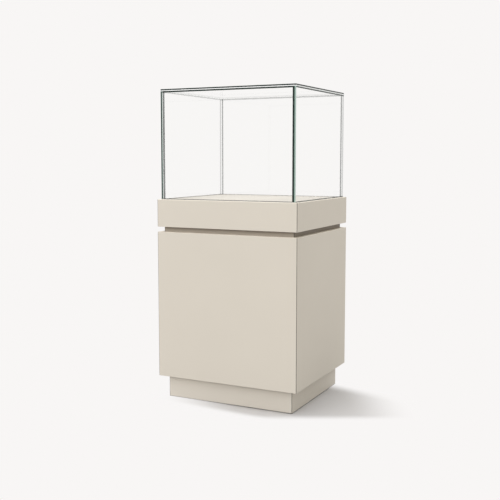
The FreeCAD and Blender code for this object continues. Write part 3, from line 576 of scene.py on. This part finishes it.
# plinth: a paler copy of the lacquer, painted light, with painted shade at its foot and under the overhang
plinthLacquer = makeLacquer("plinthLacquer", lacquer, lacquer["plinthLitColour"], lacquer["roughness"], "plinth_front",
                            footShadeFrom=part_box("plinth_front")[0].z)
bodyLacquer = makeLacquer("bodyLacquer", lacquer, lacquer["colour"], lacquer["roughness"], "deck_apron_front",
                          boardArrises, backMitre=False)
for node in ("front_panel", "left_side", "right_side"):
    frame["nodes"][node].material_slots[0].material = bodyLacquer
# the gap boards take painted shade: the lacquer much darker, and darker still on the side boards
gapShadedLacquer = makeLacquer("gapShadedLacquer", lacquer, lacquer["gapShadedColour"], lacquer["roughness"], "gap_front",
                         shadeFade=lacquer["gapShadeFadeColour"])
gapSideShadedLacquer = makeLacquer("gapSideShadedLacquer", lacquer, lacquer["gapSideShadedColour"], lacquer["roughness"], "gap_front")
for side in ("front", "back", "left", "right"):
    frame["nodes"]["plinth_" + side].material_slots[0].material = plinthLacquer
    gapFinish = gapShadedLacquer if side in ("front", "back") else gapSideShadedLacquer
    frame["nodes"]["gap_" + side].material_slots[0].material = gapFinish

weldDistance = 0.000001


# open outlines are spun round the upright axis, with the poles merged
def spinOutline(mesh, outline, steps):
    points = [mesh.verts.new((radius, 0.0, height)) for radius, height in outline]
    lines = [mesh.edges.new(pair) for pair in zip(points, points[1:])]
    bmesh.ops.spin(mesh, geom=points + lines, cent=(0, 0, 0), axis=(0, 0, 1), angle=math.tau, steps=steps,
                   use_merge=True)
    bmesh.ops.remove_doubles(mesh, verts=mesh.verts, dist=weldDistance)


# spin adds its faces in no fixed order, so points and faces are put in order of place, the same in each run
def orderByPlace(mesh):
    for parts, place in ((mesh.verts, lambda vert: vert.co), (mesh.faces, lambda face: face.calc_center_median())):
        rank = {part: at for at, part in enumerate(sorted(parts, key=lambda part: tuple(place(part))))}
        parts.sort(key=lambda part: rank[part])


def addSteelPiece(name, mesh, body, nodes):
    bmesh.ops.remove_doubles(mesh, verts=mesh.verts, dist=weldDistance)
    bmesh.ops.recalc_face_normals(mesh, faces=mesh.faces)
    orderByPlace(mesh)
    shape = bpy.data.meshes.new(name)
    mesh.to_mesh(shape)
    mesh.free()
    shape.materials.append(finishes["zinc_steel"])
    piece = bpy.data.objects.new(name, shape)
    bpy.context.scene.collection.objects.link(piece)
    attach(piece, body)
    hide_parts(nodes)


# levelling stems: a foot turning in the pad, a hexagon collar and a rolled thread
stems = {
    "corners": ("front_left", "front_right", "back_left", "back_right"),
    "footRadius": 0.0030,
    "collarBase": 0.0090,
    "collarTop": 0.0150,
    "collarFlats": 6,
    "collarChamfer": 0.0006,
    "rootRadius": 0.0034,
    "crestRadius": 0.0040,
    "pitch": 0.00125,
    "crestAt": 0.45,            # of the pitch
    "ridgeWidth": 0.9,
    "ridgeSink": 0.0002,        # how far the ridge goes into the core
    "stepsPerTurn": 16,
    "coreSteps": 24,
}


def makeStem(corner, look):
    low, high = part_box("leveller_stem_" + corner)
    stem = bmesh.new()
    lead = look["crestRadius"] - look["rootRadius"]
    bmesh.ops.create_cone(
        stem, cap_ends=True, segments=look["collarFlats"], radius1=(high.y - low.y) / 2, radius2=(high.y - low.y) / 2,
        depth=look["collarTop"] - look["collarBase"],
        matrix=Matrix.Translation((0, 0, (look["collarTop"] + look["collarBase"]) / 2)))
    rims = [edge for edge in stem.edges if abs(edge.verts[0].co.z - edge.verts[1].co.z) < lead]
    bmesh.ops.bevel(stem, geom=rims, offset=look["collarChamfer"], offset_type="OFFSET", affect="EDGES",
                    segments=1, profile=0.5, material=-1)
    spinOutline(stem, (
        (0.0, low.z), (look["footRadius"] - lead, low.z), (look["footRadius"], low.z + lead),
        (look["footRadius"], look["collarBase"] + lead), (0.0, look["collarBase"] + lead)), look["coreSteps"])
    spinOutline(stem, (
        (0.0, look["collarTop"] - lead), (look["rootRadius"], look["collarTop"] - lead),
        (look["rootRadius"], high.z - lead), (look["rootRadius"] - lead, high.z), (0.0, high.z)), look["coreSteps"])
    start = look["collarTop"]
    turns = int((high.z - lead - start) / look["pitch"]) - 1
    sunk = look["rootRadius"] - look["ridgeSink"]
    ridge = [stem.verts.new(point) for point in (
        (sunk, 0, start), (look["crestRadius"], 0, start + look["crestAt"] * look["pitch"]),
        (sunk, 0, start + look["ridgeWidth"] * look["pitch"]))]
    sides = [stem.edges.new((ridge[at], ridge[at - 1])) for at in range(3)]
    bmesh.ops.spin(stem, geom=ridge + sides, cent=(0, 0, 0), axis=(0, 0, 1), angle=turns * math.tau,
                   dvec=(0, 0, look["pitch"] / look["stepsPerTurn"]), steps=turns * look["stepsPerTurn"])
    bmesh.ops.holes_fill(stem, edges=[edge for edge in stem.edges if edge.is_boundary], sides=3)
    bmesh.ops.translate(stem, vec=((low.x + high.x) / 2, (low.y + high.y) / 2, 0), verts=stem.verts)
    addSteelPiece("threaded_stem_" + corner, stem, "stem_" + corner, "leveller_stem_" + corner)


# board screws: countersunk heads with a hexagon socket, flush with the cupboard's floor and ceiling
boardScrews = {
    "heads": {"plinth_screws": "top", "deck_screws": "bottom"},
    "headRadius": 0.0050,
    "headEdge": 0.0001,
    "shankRadius": 0.0025,
    "pointLength": 0.006,
    "socketRadius": 0.0021,
    "socketDepth": 0.0019,
    "flats": 6,
    "stepsPerFlat": 5,          # so that the round head has as many steps as the hexagon socket
}


def makeScrews(node, head, look):
    low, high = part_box(node)
    length = high.z - low.z
    screw = bmesh.new()
    spinOutline(screw, (
        (0.0, -length), (look["shankRadius"], look["pointLength"] - length),
        (look["shankRadius"], look["shankRadius"] - look["headRadius"]), (look["headRadius"], -look["headEdge"]),
        (look["headRadius"] - look["headEdge"], 0.0)), look["flats"] * look["stepsPerFlat"])
    rim = [edge for edge in screw.edges if edge.is_boundary]
    lift = Vector((0, 0, look["socketDepth"]))
    bmesh.ops.create_circle(screw, segments=look["flats"], radius=look["socketRadius"],
                            matrix=Matrix.Translation(lift))
    flats = [edge for edge in screw.edges if edge.is_wire]
    bmesh.ops.subdivide_edges(screw, edges=flats, cuts=look["stepsPerFlat"] - 1)
    mouth = [edge for edge in screw.edges if edge.is_wire]
    bmesh.ops.bridge_loops(screw, edges=rim + mouth)
    bmesh.ops.translate(screw, vec=-lift, verts=list({corner for edge in mouth for corner in edge.verts}))
    walls = bmesh.ops.extrude_edge_only(screw, edges=mouth)["geom"]
    floor = [part for part in walls if isinstance(part, bmesh.types.BMVert)]
    bmesh.ops.translate(screw, vec=-lift, verts=floor)
    bmesh.ops.contextual_create(screw, geom=floor)
    if head == "bottom":
        bmesh.ops.rotate(screw, cent=(0, 0, 0), matrix=Matrix.Rotation(math.pi, 3, "X"), verts=screw.verts)
    level = high.z if head == "top" else low.z
    first = screw.verts[:] + screw.edges[:] + screw.faces[:]
    spots = [(x, y, level) for x in (low.x + look["headRadius"], high.x - look["headRadius"])
             for y in (low.y + look["headRadius"], high.y - look["headRadius"])]
    for spot in spots[1:]:
        copied = bmesh.ops.duplicate(screw, geom=first)["geom"]
        bmesh.ops.translate(screw, vec=spot, verts=[part for part in copied if isinstance(part, bmesh.types.BMVert)])
    bmesh.ops.translate(screw, vec=spots[0], verts=[part for part in first if isinstance(part, bmesh.types.BMVert)])
    addSteelPiece("socket_" + node, screw, "cabinet", node)


for corner in stems["corners"]:
    makeStem(corner, stems)
for node, head in boardScrews["heads"].items():
    makeScrews(node, head, boardScrews)
print("steel made:", len(stems["corners"]), "stems and", len(boardScrews["heads"]), "sets of screws")

# studio: pale floor without a horizon, a soft key from behind on the left, a sky brighter above and in front
studio = {
    "backdrop": (0.939, 0.922, 0.913),
    "floor": (0.622, 0.610, 0.604),
    "bounceNear": 0.41,         # share of the floor's colour that lights the counter, beside it and farther off
    "bounceFar": 0.62,
    "bounceFade": (0.35, 1.6),
    "floorReach": 300.0,
    "skyLevel": 0.75,
    "skyTop": 0.5,
    "skyFront": 0.62,
    "skyRight": -0.12,
    "skyTint": (1.0, 1.0, 1.008),
    "skyTintRight": (1.0, 0.988, 0.940),
    "keyStrength": 1.25,
    "keySoftness": 45.0,
    "keyHeight": 65.0,
    "keyFrom": 150.0,           # degrees from +X, seen from above
}
# the lit floor that takes the shadow, as lines in plan: a point, the way out of the shadow, and the fade's two ends
shadowLines = (
    ((0.03, -0.3015), (-0.09, -0.996), -0.024, 0.034),
    ((0.298, -0.264), (0.447, -0.894), -0.038, 0.036),
    ((0.333, 0.180), (0.215, 0.977), -0.060, 0.050),
    ((-0.12, 0.0), (-1.0, 0.0), -0.20, 0.19),
    ((0.545, 0.0), (0.894, 0.447), -0.13, 0.12),
)


def makeFloor(look, lines):
    plate = bmesh.new()
    bmesh.ops.create_grid(plate, x_segments=1, y_segments=1, size=look["floorReach"])
    mesh = bpy.data.meshes.new("floor")
    plate.to_mesh(mesh)
    plate.free()
    floor = bpy.data.objects.new("floor", mesh)
    bpy.context.scene.collection.objects.link(floor)
    finish, wire = newFinish("paleFloor")
    place = wire.node("ShaderNodeTexCoord", output="Object")
    spot = wire.node("ShaderNodeSeparateXYZ", None, {0: place}, "X")
    depth = spot.other("Y")
    shaded = 1.0
    for (x, y), (outX, outY), near, far in lines:
        shaded = shaded * fading(wire, (spot - x) * outX + (depth - y) * outY, near, far)
    away = (spot * spot + depth * depth) ** 0.5
    share = between(wire, away, *look["bounceFade"], look["bounceNear"], look["bounceFar"])
    bounced = wire.node("ShaderNodeLightPath", output="Is Diffuse Ray")
    level = 1.0 - (1.0 - share) * bounced
    lit = wire.node("ShaderNodeBsdfDiffuse", None, {
        "Color": mixColour(wire, level, (0, 0, 0, 1), opaque(look["floor"]))})
    plain = wire.node("ShaderNodeEmission", None, {
        "Color": mixColour(wire, level, (0, 0, 0, 1), opaque(look["backdrop"]))})
    surface(wire, wire.node("ShaderNodeMixShader", None, {0: shaded, 1: plain, 2: lit}))
    mesh.materials.append(finish)


def makeLight(look):
    world = bpy.data.worlds.new("softStudio")
    bpy.context.scene.world = world
    world.use_nodes = True
    world.node_tree.nodes.clear()
    wire = Wire(world.node_tree)
    towards = wire.node("ShaderNodeTexCoord", output="Generated")
    across = wire.node("ShaderNodeSeparateXYZ", None, {0: towards}, "X")
    level = (look["skyLevel"] + look["skyRight"] * across - look["skyFront"] * across.other("Y")
             + look["skyTop"] * across.other("Z"))
    tint = mixColour(wire, between(wire, across, 0.0, 1.0), opaque(look["skyTint"]), opaque(look["skyTintRight"]))
    light = wire.node("ShaderNodeBackground", None, {"Color": tint, "Strength": wire.sum("MAXIMUM", level, 0.0)})
    plain = wire.node("ShaderNodeBackground", None, {"Color": opaque(look["backdrop"]), "Strength": 1.0})
    rays = wire.node("ShaderNodeLightPath", output="Is Camera Ray")
    seen = wire.sum("MINIMUM", rays + rays.other("Is Glossy Ray") + rays.other("Is Transmission Ray"), 1.0)
    wire.node("ShaderNodeOutputWorld", None, {
        "Surface": wire.node("ShaderNodeMixShader", None, {0: seen, 1: light, 2: plain})})
    lamp = bpy.data.lights.new("key", "SUN")
    lamp.energy = look["keyStrength"]
    lamp.angle = math.radians(look["keySoftness"])
    key = bpy.data.objects.new("key", lamp)
    turn, height = math.radians(look["keyFrom"]), math.radians(look["keyHeight"])
    source = Vector((math.cos(turn) * math.cos(height), math.sin(turn) * math.cos(height), math.sin(height)))
    key.rotation_euler = source.to_track_quat("Z", "Y").to_euler()
    bpy.context.scene.collection.objects.link(key)


makeFloor(studio, shadowLines)
makeLight(studio)
print("studio set")

# camera at the photograph's viewing angle
view = {
    "place": (1.472229, -3.014698, 0.964632),
    "turn": 26.3617,
    "dip": 5.7254,
    "lens": 59.2736,
    "sensor": 36.0,
    "rise": -0.02,
    "farthest": 1000.0,
}


def makeCamera(look):
    lens = bpy.data.cameras.new("view")
    lens.sensor_width = look["sensor"]
    lens.lens = look["lens"]
    lens.shift_y = look["rise"]
    lens.clip_end = look["farthest"]
    camera = bpy.data.objects.new("view", lens)
    camera.location = look["place"]
    camera.rotation_euler = (math.radians(90.0 - look["dip"]), 0.0, math.radians(look["turn"]))
    bpy.context.scene.collection.objects.link(camera)
    bpy.context.scene.camera = camera


makeCamera(view)
bpy.context.scene.view_settings.view_transform = "Standard"
print("camera set")
